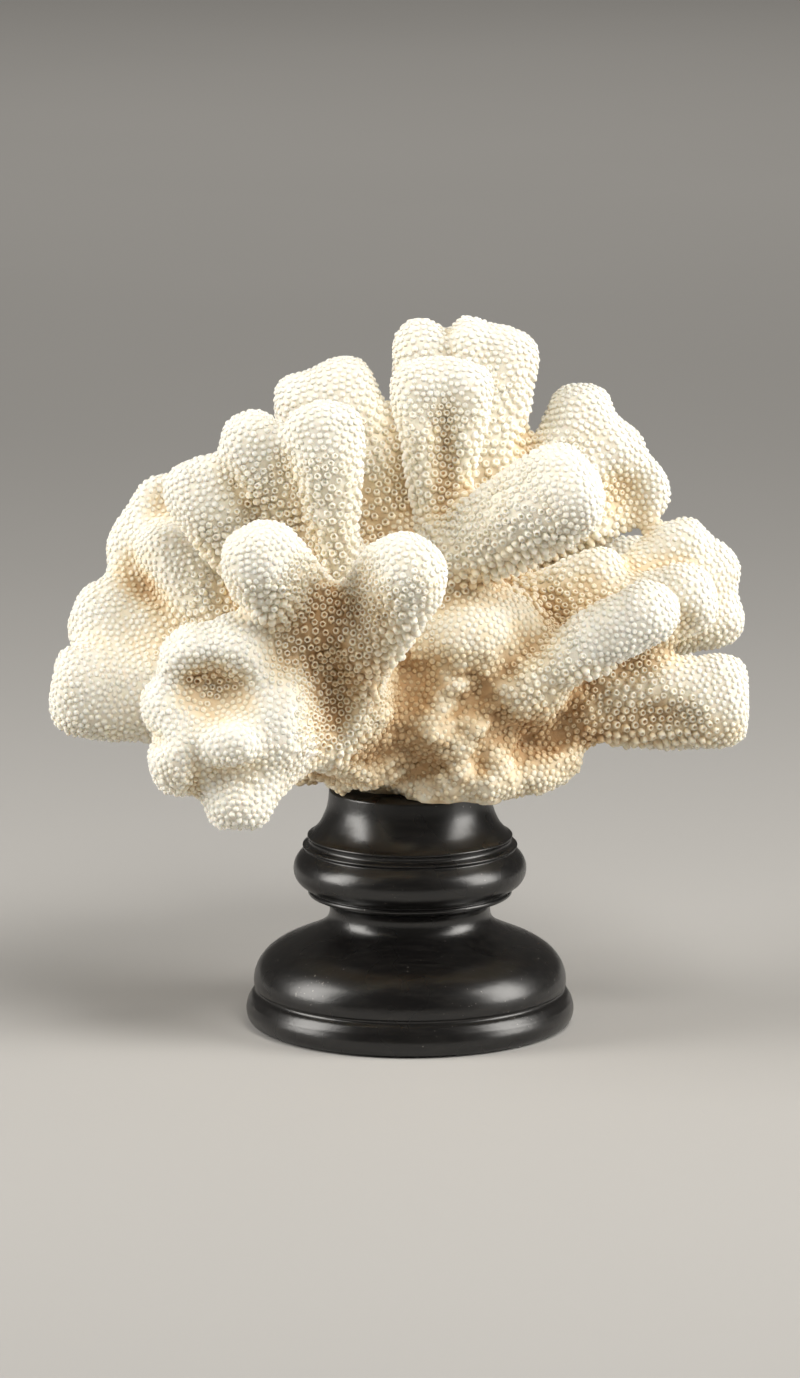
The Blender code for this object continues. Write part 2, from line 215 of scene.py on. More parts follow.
BRANCHES = {
    "front_paw_right": [
        Lobe((-18, -21, 74), (3, -55, 117.3), (15, 21), (17, 18), (-0.3, -1, 0.2), (-5, -5, -4)),
    ],
    "front_paw_left": [
        Lobe((-13, -24, 80), (-36.0, -52, 119.4), (12, 21.5), (15, 18), (0.2, -1, 0.2), (3, -4, -2)),
        Lobe((-11, -12, 64), (-17, -43, 103), (24, 23), (24, 17), (0, -1, 0.5), (-1, -4, -3)),
    ],
    "front_low_paw": [
        Lobe((-8, -12, 73), (-37, -50, 77), (24, 25), (24, 27), (0, 0, 1), (-2, 0, 0), 2.4, 0.4),
        Lobe((-32, -34, 82), (-41, -50, 96.6), (20, 20), (18, 17), (0, -1, 0.5)),
        Lobe((-33, -34, 80), (-51.5, -49, 94.0), (18, 17), (18, 17), (0, -1, 0.4)),
        Lobe((-34, -36, 80), (-57.0, -47, 80.5), (18, 15), (17, 16)),
        Lobe((-34, -38, 78), (-55.0, -50, 65.5), (18, 19), (17, 17), (0, -1, -0.2)),
        Lobe((-34, -38, 77), (-37.8, -50, 54), (18, 16.5), (17, 15), (0, -1, -0.2)),
        Lobe((-30, -36, 78), (-29.0, -46, 60), (16, 10), (14, 12)),
        Lobe((-28, -30, 72), (-27, -39, 62), (13, 11), (13, 11)),
        Lobe((-34, -40, 76), (-39, -58.5, 73), (14, 13), (12, 11), (0, 0, 1)),
    ],
    "left_low_paddle": [
        Lobe((-8, -4, 73), (-78.8, -14, 77.6), (20, 21.8), (15, 16), bow=(0, 0, -1), blunt=3.0, dome=0.4),
    ],
    "left_mid_finger": [
        Lobe((-14, -4, 71), (-74, -2, 94.0), (13, 18.5), (15, 16), bow=(0, 0, -3), blunt=2.8, dome=0.5),
    ],
    "left_upper_paddle": [
        Lobe((-8, 5, 82), (-60.4, 7, 118.3), (15, 17.5), (12, 12.5), bow=(0, 0, 1)),
        Lobe((-8, 5, 80), (-66.2, 7, 110.1), (15, 17.5), (12, 12.5)),
        Lobe((-8, 5, 78), (-67.2, 6, 100.1), (14, 14), (12, 12)),
        Lobe((-18, -16, 70), (-58.6, -1.5, 110.2), (15, 13.5), (12, 11)),
    ],
    "left_bead_finger": [
        Lobe((-18, -10, 84), (-49.2, -20, 128.6), (12, 19.5), (12, 15.5), bow=(-1, 0, 1)),
    ],
    "upper_left_short_finger": [
        Lobe((-10, -13, 88), (-37.4, -24, 140.0), (12, 16.5), (12, 14), bow=(1, 0, 0)),
    ],
    "upper_left_long_finger": [
        Lobe((-15.0, -22, 98), (-19.4, -29, 144.3), (5, 20.8), (11, 15), (0, -1, 0.1), (1, -3, 0)),
        Lobe((-10, -12, 88), (-26, -19, 126), (20, 15), (12, 9)),
    ],
    "upper_left_back_paddle": [
        Lobe((0, 4, 90), (-18, 10, 147.6), (17, 17.5), (13, 14)),
        Lobe((-8, 4, 90), (-25.2, 10, 144.2), (14, 16.5), (13, 14)),
    ],
    "top_front_paw": [
        Lobe((5.5, -11, 103), (0.6, -13, 150.6), (4, 14.4), (9, 14)),
        Lobe((7.5, -11, 103), (13, -13, 150.4), (4, 14.4), (9, 14)),
        Lobe((6.5, -11, 103), (7, -13, 151.2), (4, 13), (9, 12.5)),
    ],
    "crown_paddle": [
        Lobe((6, 6, 92), (2.4, 12, 156), (11, 14.5), (13, 14)),
        Lobe((9, 6, 92), (12.6, 12, 156.4), (13, 17), (14, 15)),
        Lobe((12, 6, 92), (21.8, 12, 154), (11, 16.8), (13, 14)),
    ],
    "upper_right_paddle": [
        Lobe((16, 6, 92), (41, 15, 140.6), (11, 16.5), (13, 14)),
        Lobe((13, 6, 92), (49.6, 14, 131.8), (14, 16.5), (13, 14)),
        Lobe((10, 6, 96), (56.6, 14, 120.8), (8, 17.5), (12, 14)),
    ],
    "right_front_finger": [
        Lobe((3, -12, 103), (39.4, -35.5, 129), (17, 24), (16, 18), (-0.2, -1, 0.3), (0, -2, 1)),
    ],
    "right_back_paddle": [
        Lobe((16, 4, 74), (66, 6, 109.2), (12, 16), (13, 14)),
        Lobe((14, 4, 78), (72.3, 6, 102.8), (14, 16.5), (13, 14)),
        Lobe((16, 4, 80), (74, 6, 92), (14, 16.5), (13, 14)),
    ],
    "right_mid_finger": [
        Lobe((12, -6, 80), (67.4, -9, 99.6), (14, 19), (13, 14)),
    ],
    "right_front_low_finger": [
        Lobe((22, -19, 78.4), (57.1, -24, 100.6), (10, 17.2), (13, 15), (0.1, -1, 0.1), (1, -1, 0)),
    ],
    "right_low_paddle": [
        Lobe((10, -6, 74), (74.8, -9, 73.6), (18, 22), (15, 17), bow=(0, 0, 0.5), blunt=3.2, dome=0.36),
    ],
    "right_inner_finger": [
        Lobe((10, -4, 88), (46.5, -3, 105.4), (10, 10), (10, 10)),
    ],
    "back_top_finger": [
        Lobe((-2, 8, 94), (-7, 38, 129), (17, 21), (14, 15), (0, 1, 0.4)),
    ],
    "back_upper_right_finger": [
        Lobe((4, 8, 90), (24, 43, 119), (16, 18), (14, 15), (0.3, 1, 0.4)),
        Lobe((6, 8, 88), (38, 42, 110), (16, 17), (14, 15), (0.3, 1, 0.4)),
    ],
    "back_upper_left_finger": [
        Lobe((-4, 8, 88), (-36, 41, 116), (17, 21), (14, 15), (-0.3, 1, 0.4)),
    ],
    "back_middle_paw": [
        Lobe((-2, 10, 80), (-10, 60, 100), (16, 18), (16, 16), (0, 0.4, 1)),
        Lobe((4, 10, 80), (8, 61, 102), (16, 18), (16, 17), (0, 0.4, 1)),
    ],
    "back_right_paddle": [
        Lobe((8, 8, 80), (58, 38, 96), (18, 23), (15, 16), (-0.5, 1, 0.2)),
    ],
    "back_left_paddle": [
        Lobe((-8, 8, 78), (-60, 34, 98), (18, 23), (15, 16), (0.5, 1, 0.2)),
    ],
    "back_low_right_finger": [
        Lobe((6, 8, 72), (34, 56, 76), (19, 23), (15, 17), (-0.2, 0.2, 1)),
    ],
    "back_low_left_finger": [
        Lobe((-4, 8, 72), (-36, 52, 74), (19, 23), (15, 17), (0.2, 0.2, 1)),
    ],
    "back_far_right_finger": [
        Lobe((10, 6, 72), (64, 25, 75), (16, 20), (15, 16), (0, 0.3, 1)),
    ],
    "back_far_left_finger": [
        Lobe((-8, 6, 72), (-64, 22, 74), (16, 20), (15, 16), (0, 0.3, 1)),
    ],
}


@dataclass(frozen=True)
class Hollow:
    """A dent in the skin, in millimetres: an oval region pushed one way and its tone lowered, most at its
    middle.
    The lowering is painted shade for most hollows and a real orange stain for the orange ones; where it is
    negative it is painted light.
    """

    centre: tuple[float, float, float]
    reach: tuple[float, float, float]
    depth: float
    way: tuple[float, float, float] = (0.0, 1.0, 0.0)
    # How much the tone is lowered at the middle: painted shade for most hollows, a real stain for the orange
    # ones, painted light where negative.
    stain_and_shade: float = 0.0

    def share(self, points: np.ndarray) -> np.ndarray:
        """How far inside each point lies: (1 - d^2)^2, with d its distance in units of the reach."""
        square = (((points - np.array(self.centre)) / np.array(self.reach)) ** 2).sum(axis=1)
        return np.clip(1 - square, 0, 1) ** 2

    def push(self, points: np.ndarray) -> np.ndarray:
        """The move of each point: the depth times its share, along the way."""
        return self.depth * self.share(points)[:, None] * np.array(self.way)


# Most stains here are painted shade: palms, valleys, stems, recesses and undersides darkened where shade
# falls. The orange_stain entries are real orange stains. right_front_low_face is painted light on a face in
# shade.
HOLLOWS = {
    "front_low_paw_palm": Hollow((-43, -57, 85.5), (15, 15, 9.5), 6.0, stain_and_shade=0.14),
    "front_low_paw_crease": Hollow((-46, -58, 68), (3, 14, 9), 2.0, stain_and_shade=0.06),
    "front_low_paw_side": Hollow((-57, -52, 73.5), (8, 14, 3.5), 3.0, (0.6, 0.8, 0.0)),
    "front_low_paw_cleft": Hollow((-46, -56, 60), (3.5, 14, 9), 3.5, (0.0, 0.8, 0.6)),
    "left_upper_crease": Hollow((-54.5, 1, 115), (6, 9, 12), 3.0, stain_and_shade=0.14),
    "left_upper_face": Hollow((-57, -1, 99), (11, 10, 14), 1.2, stain_and_shade=0.15),
    "orange_stain_brow": Hollow((-50, -42, 100), (4.5, 6, 2.2), 0.0, stain_and_shade=0.7),
    "orange_stain_palm": Hollow((-46, -52, 87), (4, 8, 2.5), 0.0, stain_and_shade=0.45),
    "orange_stain_low": Hollow((-34, -60, 66), (1.2, 8, 1.2), 0.0, stain_and_shade=0.8),
    "orange_stain_valley": Hollow((-20, -45, 88), (2.5, 14, 4), 0.0, stain_and_shade=0.5),
    "front_paw_palm": Hollow((-15, -50, 100), (18, 24, 22), 6.0, stain_and_shade=0.60),
    "front_paw_valley": Hollow((-17.5, -48, 79), (9, 22, 19), 8.0, stain_and_shade=0.5),
    "front_paw_stem": Hollow((-9, -44, 82), (10, 15, 16), 0.0, stain_and_shade=0.42),
    # Painted shade on the underside of the right low paddle.
    "right_low_shade": Hollow((55, -18, 69.5), (27, 14, 12.5), 0.0, stain_and_shade=0.5),
    # Painted light: the front of the right front low finger, which lies in shade, made lighter.
    "right_front_low_face": Hollow((46, -30, 92), (19, 12, 14), 0.0, stain_and_shade=-0.45),
    "front_paw_side": Hollow((1, -33, 82), (8, 13, 17), 5.0, (-0.4, 0.9, 0.0), stain_and_shade=0.2),
    "trunk_cave": Hollow((-8, -34, 64), (8, 12, 6), 3.5, stain_and_shade=0.15),
    "right_low_root": Hollow((35, -17, 67), (16, 12, 11), 0.0, stain_and_shade=0.25),
    "front_paw_right_tip": Hollow((4, -58, 114), (12, 12, 12), 0.0, stain_and_shade=0.16),
    "right_back_rim": Hollow((74, 6, 101), (9, 10, 14), 0.0, stain_and_shade=0.12),
    "crown_cleft": Hollow((8.3, 10, 158), (3.4, 14, 9), 3.2, (0.0, 0.0, -1.0)),
    "crown_groove": Hollow((8.6, 3, 150), (3, 6, 9), 1.8),
    "top_front_paw_groove": Hollow((7.5, -20, 129), (5, 9, 18), 3.0, stain_and_shade=0.16),
    "upper_right_recess": Hollow((48, 6, 116), (10, 10, 11), 3.5, stain_and_shade=0.08),
    "right_mid_recess": Hollow((60, -16, 91), (6, 9, 7), 2.5),
    "right_low_recess": Hollow((52, -17, 72), (14, 9, 6), 1.5),
}


def new_object(name: str, mesh: bpy.types.Mesh) -> bpy.types.Object:
    """Links a mesh to the scene as an object at the origin.

    Args:
        name: the object's name.
        mesh: its mesh.

    Returns:
        The object.
    """
    obj = bpy.data.objects.new(name, mesh)
    bpy.context.scene.collection.objects.link(obj)
    return obj


def mesh_from_arrays(name: str, points: np.ndarray, faces: np.ndarray) -> bpy.types.Mesh:
    """Puts whole arrays into a mesh with foreach_set.

    Args:
        name: the mesh's name.
        points: vertex places in metres, one row each.
        faces: vertex numbers, one row a face, padded with -1 where a face has fewer corners.

    Returns:
        The new mesh.
    """
    used = faces >= 0
    counts = used.sum(axis=1)
    mesh = bpy.data.meshes.new(name)
    mesh.vertices.add(len(points))
    mesh.vertices.foreach_set("co", points.astype(np.float32).ravel())
    mesh.loops.add(int(counts.sum()))
    mesh.loops.foreach_set("vertex_index", faces[used].astype(np.int32))
    mesh.polygons.add(len(faces))
    starts = np.concatenate([[0], np.cumsum(counts)[:-1]])
    mesh.polygons.foreach_set("loop_start", starts.astype(np.int32))
    mesh.update(calc_edges=True)
    mesh.validate()
    return mesh


def read_rows(items: bpy.types.bpy_prop_collection, key: str) -> np.ndarray:
    """Reads one vector from each item of a mesh.

    Args:
        items: the mesh's vertices or their normals.
        key: the name of the vector there.

    Returns:
        One row an item.
    """
    rows = np.empty(len(items) * 3, np.float32)
    items.foreach_get(key, rows)
    return rows.reshape(-1, 3).astype(float)


def mesh_points(mesh: bpy.types.Mesh) -> np.ndarray:
    """The mesh's vertex places, one row each."""
    return read_rows(mesh.vertices, "co")


def mesh_normals(mesh: bpy.types.Mesh) -> np.ndarray:
    """The mesh's vertex normals, one row each."""
    return read_rows(mesh.vertex_normals, "vector")


def set_points(mesh: bpy.types.Mesh, points: np.ndarray) -> None:
    """Writes vertex places back to the mesh."""
    mesh.vertices.foreach_set("co", points.astype(np.float32).ravel())
    mesh.update()


def set_attribute(mesh: bpy.types.Mesh, name: str, values: np.ndarray) -> None:
    """Stores one number for each vertex under that name."""
    layer = mesh.attributes.new(name, "FLOAT", "POINT")
    layer.data.foreach_set("value", values.astype(np.float32))


def smooth_step(value: np.ndarray, low: float, high: float) -> np.ndarray:
    """Rises from 0 at low to 1 at high, as 3t^2 - 2t^3."""
    t = np.clip((value - low) / (high - low), 0, 1)
    return t * t * (3 - 2 * t)


@dataclass(frozen=True)
class Ripple:
    """A smooth random field: plane sine waves in random directions, summed. Lengths are in millimetres."""

    wavelength: float
    waves: int
    seed: int

    def at(self, points: np.ndarray) -> np.ndarray:
        """The sum of the waves over the square root of their number.

        Args:
            points: where it is wanted, in millimetres.

        Returns:
            One value for each point, mostly from -1 to 1.
        """
        draw = np.random.default_rng(self.seed)
        heading = draw.normal(size=(self.waves, 3))
        heading /= np.linalg.norm(heading, axis=1, keepdims=True)
        lengths = self.wavelength * draw.uniform(0.75, 1.35, self.waves)
        phase = draw.uniform(0, 2 * math.pi, self.waves)
        angle = points @ (heading * (2 * math.pi / lengths)[:, None]).T + phase
        return np.sin(angle).sum(axis=1) / math.sqrt(self.waves)


class SkinGraph:
    """The neighbours of each vertex of a skin, for averages over them."""

    def __init__(self, mesh: bpy.types.Mesh) -> None:
        """Reads the skin's edges, each of them both ways.

        Args:
            mesh: the skin.
        """
        edges = np.empty(len(mesh.edges) * 2, np.int32)
        mesh.edges.foreach_get("vertices", edges)
        edges = edges.reshape(-1, 2)
        self.start = np.concatenate([edges[:, 0], edges[:, 1]])
        self.end = np.concatenate([edges[:, 1], edges[:, 0]])
        self.count = len(mesh.vertices)
        self.degree = np.maximum(np.bincount(self.start, minlength=self.count), 1)

    def mean(self, values: np.ndarray) -> np.ndarray:
        """The mean of each vertex's neighbours.

        Args:
            values: one row, or one number, for each vertex.

        Returns:
            The means, in the same form.
        """
        columns = values.reshape(self.count, -1).T
        sums = [np.bincount(self.start, weights=column[self.end], minlength=self.count) for column in columns]
        return (np.stack(sums, -1) / self.degree[:, None]).reshape(values.shape)


class NodeChain:
    """A small helper that adds and links shader nodes in a new material."""

    def __init__(self, name: str) -> None:
        """Makes a material with one Principled shader and finds its Object coordinates.

        Args:
            name: the material's name.
        """
        self.material = bpy.data.materials.new(name)
        self.material.use_nodes = True
        self.tree = self.material.node_tree
        self.tree.nodes.clear()
        self.shader = self.add("ShaderNodeBsdfPrincipled")
        output = self.add("ShaderNodeOutputMaterial")
        self.link(self.shader.outputs["BSDF"], output.inputs["Surface"])
        self.place = self.add("ShaderNodeTexCoord").outputs["Object"]

    def add(self, kind: str, **settings: object) -> bpy.types.Node:
        """Adds a node.

        Args:
            kind: the node's type.
            settings: its properties, or its input sockets with spaces as underscores.

        Returns:
            The node.
        """
        node = self.tree.nodes.new(kind)
        for key, value in settings.items():
            if hasattr(node, key):
                setattr(node, key, value)
            else:
                node.inputs[key.replace("_", " ")].default_value = value
        return node

    def link(self, source: bpy.types.NodeSocket, target: bpy.types.NodeSocket) -> None:
        """Joins two sockets."""
        self.tree.links.new(source, target)

    def surface(self, **values: object) -> None:
        """Sets inputs of the shader, named with spaces as underscores."""
        for key, value in values.items():
            self.shader.inputs[key.replace("_", " ")].default_value = value

    def noise(
        self, scale: float, detail: float, roughness: float = 0.5, place: bpy.types.NodeSocket | None = None
    ) -> bpy.types.NodeSocket:
        """A noise texture.

        Args:
            scale: its cells in a metre.
            detail: its finer layers.
            roughness: how strong each finer layer is.
            place: its coordinates, the object's own if None.

        Returns:
            The socket with its value.
        """
        node = self.add("ShaderNodeTexNoise", Scale=scale, Detail=detail, Roughness=roughness)
        self.link(self.place if place is None else place, node.inputs["Vector"])
        return node.outputs["Fac"]

    def bump(self, height: bpy.types.NodeSocket, strength: float, distance: float) -> None:
        """Gives the shader a bumpy normal.

        Args:
            height: the socket with the height.
            strength: how much of the bump shows.
            distance: the height of the full bump in metres.
        """
        node = self.add("ShaderNodeBump", Strength=strength, Distance=distance)
        self.link(height, node.inputs["Height"])
        self.link(node.outputs["Normal"], self.shader.inputs["Normal"])

    def remap(self, source: bpy.types.NodeSocket, **limits: float) -> bpy.types.NodeSocket:
        """A clamped straight-line map of the source.

        Args:
            source: the socket with the value.
            limits: the Map Range node's limits.

        Returns:
            The socket with the result.
        """
        node = self.add("ShaderNodeMapRange", **limits)
        self.link(source, node.inputs["Value"])
        return node.outputs["Result"]

    def ramp(self, source: bpy.types.NodeSocket, stops: list[tuple[float, tuple]]) -> bpy.types.NodeSocket:
        """A colour ramp over the source.

        Args:
            source: the socket with the value.
            stops: places from 0 to 1 and their colours.

        Returns:
            The colour socket.
        """
        node = self.add("ShaderNodeValToRGB")
        elements = node.color_ramp.elements
        while len(elements) < len(stops):
            elements.new(0.5)
        for element, (place, colour) in zip(elements, stops):
            element.position = place
            element.color = (*colour, 1.0)
        self.link(source, node.inputs["Fac"])
        return node.outputs["Color"]

    def maths(self, operation: str, first: object, second: object) -> bpy.types.NodeSocket:
        """One arithmetic step.

        Args:
            operation: the Math node's operation.
            first: a socket or a plain number.
            second: another.

        Returns:
            The socket with the result.
        """
        node = self.add("ShaderNodeMath", operation=operation)
        for number, value in enumerate((first, second)):
            if isinstance(value, bpy.types.NodeSocket):
                self.link(value, node.inputs[number])
            else:
                node.inputs[number].default_value = value
        return node.outputs[0]


@dataclass(frozen=True)
class SkeletonFinish:
    """Bleached coral skeleton: chalky cream, tan in its pits and valleys as painted shade, a little light let
    through.
    """

    name: str
    grain_size: float = 0.00035
    grain_depth: float = 0.00006
    grain_strength: float = 0.6
    mottle_scale: float = 140.0
    mottle_sway: float = 0.35
    roughness: float = 0.82
    specular: float = 0.25
    glow: float = 0.38
    glow_reach: float = 0.0015
    glow_colours: tuple[float, float, float] = (1.0, 0.78, 0.58)
    stops: tuple = (
        (0.0, (0.47, 0.29, 0.14)),
        (0.25, (0.675, 0.505, 0.31)),
        (0.5, (0.855, 0.725, 0.52)),
        (0.75, (0.905, 0.835, 0.685)),
        (1.0, (0.93, 0.89, 0.785)),
    )

    def build(self) -> bpy.types.Material:
        """Colour from the "tone" attribute, which carries painted light and shade, broken up by noise, with a
        fine chalky grain as bump.

        Returns:
            The material.
        """
        chain = NodeChain(self.name)
        tone = chain.add("ShaderNodeAttribute", attribute_name="tone").outputs["Fac"]
        mottle = chain.maths("SUBTRACT", chain.noise(self.mottle_scale, 3.0, 0.6), 0.5)
        sway = chain.maths("MULTIPLY", mottle, self.mottle_sway)
        colour = chain.ramp(chain.maths("ADD", tone, sway), list(self.stops))
        chain.link(colour, chain.shader.inputs["Base Color"])
        chain.bump(chain.noise(1 / self.grain_size, 2.0, 0.6), self.grain_strength, self.grain_depth)
        chain.surface(
            Roughness=self.roughness,
            Specular_IOR_Level=self.specular,
            Subsurface_Weight=self.glow,
            Subsurface_Radius=self.glow_colours,
            Subsurface_Scale=self.glow_reach,
        )
        return chain.material


@dataclass(frozen=True)
class EbonisedFinish:
    """Black-stained, waxed hardwood: satin, with faint pores along the turning and a few specks of dust."""

    name: str = "ebonised_wood_waxed"
    black: tuple[float, float, float] = (0.0035, 0.0032, 0.0032)
    worn: tuple[float, float, float] = (0.012, 0.011, 0.010)
    dust: tuple[float, float, float] = (0.14, 0.13, 0.12)
    pores: tuple[float, float, float] = (90.0, 900.0, 900.0)
    pore_strength: float = 0.2
    pore_depth: float = 0.0002
    speck_scale: float = 1500.0
    patch_scale: float = 60.0
    dusty: tuple[float, float] = (0.8, 0.86)
    satin: tuple[float, float] = (0.2, 0.36)
    specular: float = 0.65

    def build(self) -> bpy.types.Material:
        """Pores as noise stretched along X, roughness in cloudy patches, dust where fine noise peaks.

        Returns:
            The material.
        """
        chain = NodeChain(self.name)
        stretch = chain.add("ShaderNodeMapping", Scale=self.pores)
        chain.link(chain.place, stretch.inputs["Vector"])
        grain = chain.noise(1.0, 4.0, 0.65, stretch.outputs["Vector"])
        wood = chain.ramp(grain, [(0.45, self.black), (0.8, self.worn)])
        specks = chain.noise(self.speck_scale, 1.0)
        patches = chain.noise(self.patch_scale, 2.0)
        rare = chain.maths("MULTIPLY", specks, chain.maths("ADD", patches, 0.5))
        mix = chain.add("ShaderNodeMix", data_type="RGBA")
        chain.link(chain.remap(rare, From_Min=self.dusty[0], From_Max=self.dusty[1]), mix.inputs[MIX_SHARE])
        chain.link(wood, mix.inputs[MIX_FIRST])
        mix.inputs[MIX_SECOND].default_value = (*self.dust, 1.0)
        chain.link(mix.outputs[MIX_RESULT], chain.shader.inputs["Base Color"])
        satin = chain.remap(patches, To_Min=self.satin[0], To_Max=self.satin[1])
        chain.link(satin, chain.shader.inputs["Roughness"])
        chain.bump(grain, self.pore_strength, self.pore_depth)
        chain.surface(Specular_IOR_Level=self.specular)
        return chain.material


@dataclass(frozen=True)
class FloorFinish:
    """A plain pale studio floor: one matt, faintly warm grey."""

    name: str = "studio_floor"
    grey: float = 0.42
    warmth: tuple[float, float, float] = (1.02, 1.0, 0.97)
    unevenness: float = 0.01
    roughness: float = 0.9

    def build(self) -> bpy.types.Material:
        """The grey with a trace of noise.

        Returns:
            The material.
        """
        chain = NodeChain(self.name)
        ends = (1 - self.unevenness, 1 + self.unevenness)
        low, high = (tuple(self.grey * share * part for part in self.warmth) for share in ends)
        tint = chain.ramp(chain.noise(4.0, 2.0), [(0.3, low), (0.7, high)])
        chain.link(tint, chain.shader.inputs["Base Color"])
        chain.surface(Roughness=self.roughness)
        return chain.material


@dataclass(frozen=True)
class ToneRule:
    """What lightens and darkens the skin. Tone is 0 at deep tan and 1 at clean white.
    The tips, creases, forks and undersides terms are painted light and shade: lighter towards the outer tips,
    darker in creases, deep forks and on undersides, where shade falls. The wear term darkens the low trunk,
    partly as worn skeleton and partly as painted shade under the fingers.
    """

    ground: float = 0.47
    tips: float = 0.24
    creases: float = 0.20
    forks: float = 0.045
    undersides: float = 0.20
    rim: float = 0.22
    wear: float = 0.36
    grit: float = 0.08
    ledges: float = 0.12
    mottle: float = 0.04
    darkest: float = 0.04
    tip_edge: tuple[float, float] = (0.4, 0.9)
    crease_limits: tuple[float, float] = (-0.6, 1.2)
    fork_limits: tuple[float, float] = (-2.0, 4.0)
    under_edge: tuple[float, float] = (0.0, 0.7)
    rim_top: float = 60.0
    rim_fade: float = 4.0


@dataclass
class Colony:
    """The coral's body: one skin over all the lobes, its valleys filled, its surface uneven.

    Sizes are in millimetres. An edge is the nearness or the slope over which a rule fades in.
    """

    branches: dict[str, list[Lobe]]
    trunk: list[Lobe]
    heart: tuple[float, float, float] = (1.0, 0.0, 77.0)
    reach: tuple[float, float, float] = (78.0, 60.0, 80.0)
    cut_height: float = 53.3
    hollows: tuple[Hollow, ...] = ()
    first_grid: float = 1.2
    last_grid: float = 1.02
    filling_passes: int = 36
    filling_least: float = 0.6
    filling_more: float = 5.0
    filling_edge: tuple[float, float] = (0.42, 0.95)
    normals_every: int = 6
    across_step: float = 0.5
    outward_step: float = 0.8
    inward_step: float = 0.08
    inset: float = 0.55
    valley_passes: int = 50
    wear_top: float = 98.0
    wear_fade: float = 16.0
    wear_edge: tuple[float, float] = (0.44, 0.64)
    swell: Ripple = Ripple(19.0, 14, 11)
    swell_height: float = 0.36
    dimples: Ripple = Ripple(8.0, 16, 12)
    dimple_height: float = 0.22
    knobs: Ripple = Ripple(10.5, 16, 13)
    knob_height: float = 1.3
    ledges: Ripple = Ripple(6.0, 18, 14)
    ledge_height: float = 0.9
    knob_inset: float = 0.6
    grit: Ripple = Ripple(3.0, 20, 16)
    grit_height: float = 0.30
    mottle: Ripple = Ripple(9.0, 20, 17)
    rule: ToneRule = ToneRule()
    mesh: bpy.types.Mesh | None = field(default=None, repr=False)
    obj: bpy.types.Object | None = field(default=None, repr=False)

    def all_lobes(self) -> list[Lobe]:
        """Every lobe, the trunk's first."""
        return [*self.trunk, *(lobe for lobes in self.branches.values() for lobe in lobes)]

    def joined_lobes(self) -> bpy.types.Object:
        """All the lobes' closed surfaces in one mesh, overlapping.

        Returns:
            The object that holds it.
        """
        points, faces, total = [], [], 0
        for lobe in self.all_lobes():
            places, corners = lobe.surface()
            points.append(places)
            faces.append(np.where(corners >= 0, corners + total, -1))
            total += len(places)
        mesh = mesh_from_arrays("coral_lobes", np.concatenate(points) * MM, np.concatenate(faces))
        return new_object("coral_lobes", mesh)

    @staticmethod
    def remeshed(obj: bpy.types.Object, grid: float) -> bpy.types.Object:
        """Replaces the object's mesh by one even skin of quads.

        Args:
            obj: the object.
            grid: the size of the quads in millimetres.

        Returns:
            The same object.
        """
        skin = obj.modifiers.new("skin", "REMESH")
        skin.mode = "VOXEL"
        skin.voxel_size = grid * MM
        graph = bpy.context.evaluated_depsgraph_get()
        mesh = bpy.data.meshes.new_from_object(obj.evaluated_get(graph))
        old = obj.data
        obj.modifiers.clear()
        obj.data = mesh
        bpy.data.meshes.remove(old)
        return obj

    def fill_valleys(self, mesh: bpy.types.Mesh) -> None:
        """Rounds the forks: where the neighbours' mean lies outside the skin, the vertex moves out to it.

        The step along the normal is taken almost in full where it leads outwards, up to a limit that
        grows towards the heart, and a tenth of that where it leads inwards, so that valleys fill, gaps
        stay open and tips keep their reach. The step across evens the grid.

        Args:
            mesh: the skin.
        """
        graph = SkinGraph(mesh)
        points = mesh_points(mesh)
        near = self.nearness(points / MM)
        inner = 1 - smooth_step(near, *self.filling_edge)
        allowed = MM * (self.filling_least + self.filling_more * inner)[:, None]
        filled = np.zeros((len(points), 1))
        for turn in range(self.filling_passes):
            if turn % self.normals_every == 0:
                set_points(mesh, points)
                normals = mesh_normals(mesh)
            step = graph.mean(points) - points
            along = (step * normals).sum(axis=1, keepdims=True)
            across = step - along * normals
            out = np.minimum(along * self.outward_step, np.maximum(allowed - filled, 0))
            along = np.where(along > 0, out, along * self.inward_step)
            filled += along
            points += along * normals + across * self.across_step
        set_points(mesh, points)

    def nearness(self, points: np.ndarray) -> np.ndarray:
        """Distance from the colony's heart over its reach: 0 at the heart, 1 about the outermost tips."""
        return np.linalg.norm((points - np.array(self.heart)) / np.array(self.reach), axis=1)

    def wear(self, points: np.ndarray) -> np.ndarray:
        """How worn the skin is: 1 low on the trunk, 0 on the fingers. The tone darkens by it, partly as
        painted shade under the fingers.
        """
        low = smooth_step(self.wear_top - points[:, 2], 0, self.wear_fade)
        return low * (1 - smooth_step(self.nearness(points), *self.wear_edge))

    def roughen(self, mesh: bpy.types.Mesh) -> None:
        """Pushes the skin in and out: gently on the fingers, and in knobs and ledges low on the trunk.

        Args:
            mesh: the skin.
        """
        graph = SkinGraph(mesh)
        points, normals = mesh_points(mesh) / MM, mesh_normals(mesh)
        worn = self.wear(points)
        swell = self.swell_height * self.swell.at(points) + self.dimple_height * self.dimples.at(points)
        ledges = self.ledge_height * np.abs(self.ledges.at(points))
        knobs = self.knob_height * self.knobs.at(points) + ledges - self.knob_inset
        points += normals * (swell + worn * knobs - self.inset)[:, None]
        for hollow in self.hollows:
            points += hollow.push(points)
        for _ in range(2):
            points = points * 0.5 + graph.mean(points) * 0.5
        points += normals * (self.grit_height * self.grit.at(points) * worn)[:, None]
        set_points(mesh, points * MM)

